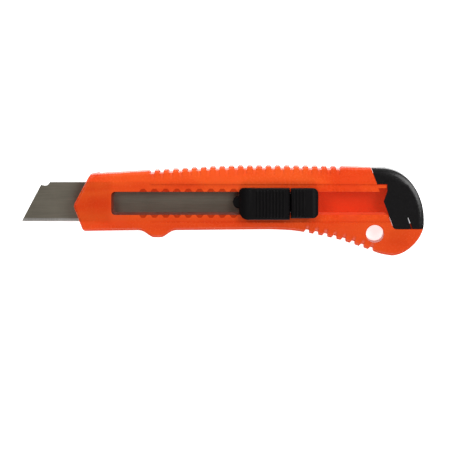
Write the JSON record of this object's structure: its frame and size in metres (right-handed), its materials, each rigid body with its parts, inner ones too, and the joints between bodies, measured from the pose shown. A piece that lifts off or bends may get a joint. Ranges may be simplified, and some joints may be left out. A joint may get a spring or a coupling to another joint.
{
  "type": "snap-off utility knife",
  "caption": "Flat plastic knife with a segmented steel blade on a thumb slider in a toothed slot, grip grooves, a lanyard hole and a pull-off end cap.",
  "frame": {"origin": "bottom centre of the whole knife's box, with the blade as far out as in the reference and the knife lying on its back face", "axes": "+X from the blade's point to the end cap, +Y from the cutting edge to the spine, +Z out of the slotted face"},
  "size_m": [0.183, 0.0408, 0.0157],
  "materials": {
    "translucent_orange_plastic": "translucent moulded, glossy",
    "black_plastic": "satin moulded",
    "blade_steel": "fine brushed, ground edge",
    "spring_steel": "bright strip"
  },
  "bodies": {
    "housing": {"handle": "translucent_orange_plastic"},
    "cap": {"end_cap": "black_plastic"},
    "slider": {"blade_carrier": "black_plastic", "blade": "blade_steel", "detent_spring": "spring_steel", "thumb_pad": "black_plastic"},
    "lock": {"lock_button": "black_plastic"}
  },
  "joints": [
    {"name": "blade_slide", "type": "slide", "parent": "housing", "child": "slider", "axis": [1, 0, 0], "range_m": [-0.06156, 0.03078], "deforming": ["detent_spring"]},
    {"name": "lock_press", "type": "hinge", "parent": "slider", "child": "lock", "pos_m": [0.03266, 0.0036, 0.0102], "axis": [0, 1, 0], "range_deg": [0, 4.5], "stiffness_Nm_per_rad": 0.5},
    {"name": "cap_pull", "type": "slide", "parent": "housing", "child": "cap", "axis": [1, 0, 0], "range_m": [0, 0.025]}
  ]
}
